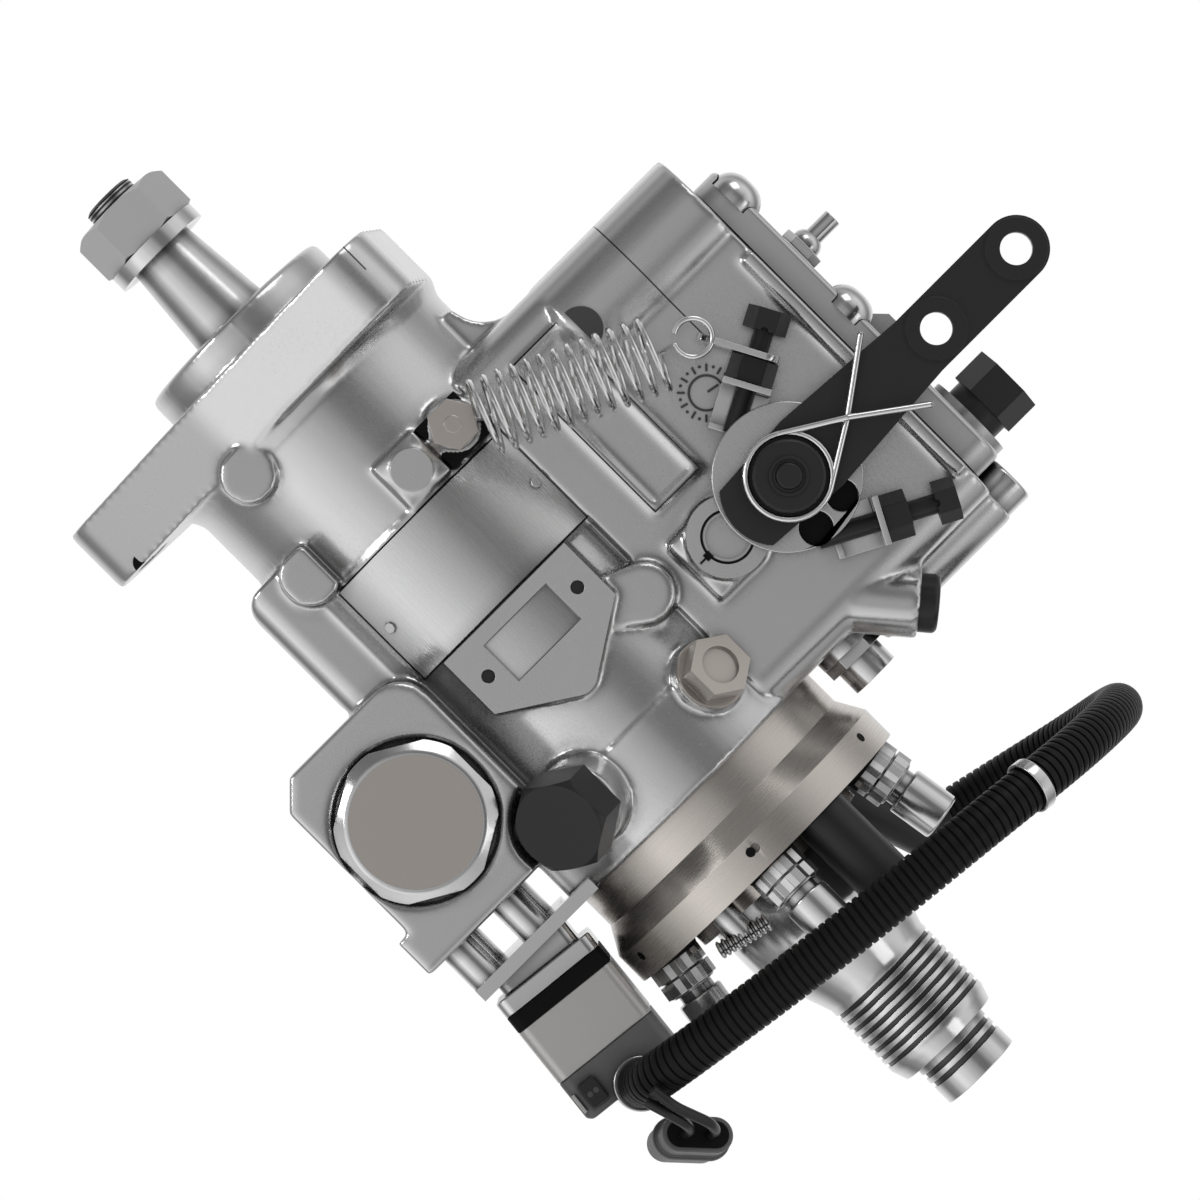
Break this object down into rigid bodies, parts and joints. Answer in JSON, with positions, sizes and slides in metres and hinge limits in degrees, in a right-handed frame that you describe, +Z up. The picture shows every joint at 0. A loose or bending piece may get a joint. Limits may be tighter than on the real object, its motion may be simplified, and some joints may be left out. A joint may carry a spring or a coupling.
{
  "type": "diesel injection pump",
  "caption": "Rotary distributor diesel injection pump: flanged drive end, governor housing with throttle lever and stops, timing advance with actuator, hydraulic head and fuel inlet.",
  "frame": {"origin": "centre of the mounting flange's face on the shaft axis", "axes": "+X along the shaft from the drive end to the fuel inlet, +Z up to the throttle, -Y the lever side"},
  "size_m": [0.3093, 0.1242, 0.2334],
  "materials": {
    "cast_aluminium": "satin casting",
    "head_steel": "turned",
    "ground_steel": "ground",
    "warm_steel": "satin",
    "black_steel": "black oxide",
    "dark_steel": "satin",
    "plated_steel": "plated",
    "spring_steel": "bright",
    "cover_metal": "satin",
    "plate_metal": "brushed",
    "bearing_bronze": "turned",
    "black_plastic": "matte",
    "pale_plastic": "satin",
    "grey_plastic": "satin",
    "conduit_plastic": "corrugated",
    "black_rubber": "matte"
  },
  "bodies": {
    "housing": {"actuator_base": "cast_aluminium", "actuator_body": "cast_aluminium", "actuator_cap": "black_plastic", "actuator_socket": "black_plastic", "advance_bracket": "cast_aluminium", "advance_plugs": "warm_steel", "anchor_bolt": "warm_steel", "angled_plug": "black_plastic", "conduit": "conduit_plastic", "conduit_band": "plated_steel", "connector": "grey_plastic", "cover_screws": "pale_plastic", "discharge_fittings": "plated_steel", "discharge_sleeves": "plated_steel", "drive_bearing": "bearing_bronze", "end_cap": "head_steel", "governor_cover": "cast_aluminium", "governor_housing": "cast_aluminium", "hydraulic_head": "head_steel", "lead_wires": "black_rubber", "plate_screws": "dark_steel", "pump_housing": "cast_aluminium", "rear_solenoids": "black_steel", "return_fitting": "black_steel", "return_spring": "spring_steel", "seals": "black_rubber", "shutoff_coil": "black_plastic", "side_bolt": "warm_steel", "side_fitting": "plated_steel", "side_hex_plug": "black_plastic", "side_plate": "plate_metal", "snap_ring_plug": "dark_steel", "spring_strap": "plated_steel", "stop_brackets": "plated_steel", "stop_lock_nuts": "black_steel", "stop_screws": "black_steel", "terminal_stud": "plated_steel", "timing_cover": "cover_metal", "transfer_liner": "ground_steel"},
    "drive_train": {"drive_shaft": "ground_steel", "shaft_nut": "plated_steel", "weight_cage": "ground_steel", "rotor": "ground_steel", "transfer_blades": "ground_steel"},
    "weight_1": {"flyweight_1": "ground_steel"},
    "weight_2": {"flyweight_2": "ground_steel"},
    "weight_3": {"flyweight_3": "ground_steel"},
    "weight_4": {"flyweight_4": "ground_steel"},
    "sleeve": {"thrust_sleeve": "ground_steel"},
    "arm": {"governor_arm": "plated_steel"},
    "metering": {"metering_valve": "ground_steel"},
    "throttle": {"throttle_lever": "black_steel", "throttle_shaft": "black_steel", "throttle_plate": "plated_steel", "throttle_spring": "spring_steel"},
    "cam": {"cam_ring": "ground_steel"},
    "advance": {"advance_piston": "ground_steel"},
    "plunger_n": {"plunger_near": "ground_steel"},
    "plunger_f": {"plunger_far": "ground_steel"},
    "regulator": {"regulator_piston": "ground_steel"}
  },
  "joints": [
    {"name": "drive_spin", "type": "hinge", "parent": "housing", "child": "drive_train", "pos_m": [0, 0, 0], "axis": [1, 0, 0], "continuous": true},
    {"name": "arm_tilt", "type": "hinge", "parent": "housing", "child": "arm", "pos_m": [0.05, 0, 0.042], "axis": [0, 1, 0], "range_deg": [0, 4]},
    {"name": "sleeve_slide", "type": "slide", "parent": "housing", "child": "sleeve", "axis": [-1, 0, 0], "range_m": [0, 0.00294]},
    {"name": "weight_1_swing", "type": "hinge", "parent": "drive_train", "child": "weight_1", "pos_m": [0.084, 0, 0.025], "axis": [0, 1, 0], "range_deg": [0, 13.6]},
    {"name": "weight_2_swing", "type": "hinge", "parent": "drive_train", "child": "weight_2", "pos_m": [0.084, -0.025, 0], "axis": [0, 0, 1], "range_deg": [0, 13.6]},
    {"name": "weight_3_swing", "type": "hinge", "parent": "drive_train", "child": "weight_3", "pos_m": [0.084, 0, -0.025], "axis": [0, -1, 0], "range_deg": [0, 13.6]},
    {"name": "weight_4_swing", "type": "hinge", "parent": "drive_train", "child": "weight_4", "pos_m": [0.084, 0.025, 0], "axis": [0, 0, -1], "range_deg": [0, 13.6]},
    {"name": "metering_turn", "type": "hinge", "parent": "housing", "child": "metering", "pos_m": [0.131, -0.012, 0.03], "axis": [0, 0, 1], "range_deg": [0, 13.1]},
    {"name": "throttle_turn", "type": "hinge", "parent": "housing", "child": "throttle", "pos_m": [0.1156, -0.03, 0.0694], "axis": [0, 1, 0], "range_deg": [-20, 20]},
    {"name": "cam_turn", "type": "hinge", "parent": "housing", "child": "cam", "pos_m": [0.111, 0, 0], "axis": [1, 0, 0], "range_deg": [-3.5, 3.5]},
    {"name": "advance_slide", "type": "slide", "parent": "housing", "child": "advance", "axis": [0, 1, 0], "range_m": [-0.00275, 0.00275]},
    {"name": "plunger_near_stroke", "type": "slide", "parent": "drive_train", "child": "plunger_n", "axis": [0, -1, 0], "range_m": [-0.0012, 0]},
    {"name": "plunger_far_stroke", "type": "slide", "parent": "drive_train", "child": "plunger_f", "axis": [0, 1, 0], "range_m": [-0.0012, 0]},
    {"name": "regulator_slide", "type": "slide", "parent": "housing", "child": "regulator", "axis": [1, 0, 0], "range_m": [0, 0.003]}
  ],
  "couplings": [
    {"joint": "weight_1_swing", "follows": "arm_tilt", "ratio": 3.4},
    {"joint": "weight_2_swing", "follows": "arm_tilt", "ratio": 3.4},
    {"joint": "weight_3_swing", "follows": "arm_tilt", "ratio": 3.4},
    {"joint": "weight_4_swing", "follows": "arm_tilt", "ratio": 3.4},
    {"joint": "sleeve_slide", "follows": "arm_tilt", "m_per_rad": 0.042},
    {"joint": "metering_turn", "follows": "arm_tilt", "ratio": 3.27},
    {"joint": "advance_slide", "follows": "cam_turn", "m_per_rad": 0.0448},
    {"joint": "plunger_far_stroke", "follows": "plunger_near_stroke", "ratio": 1}
  ]
}
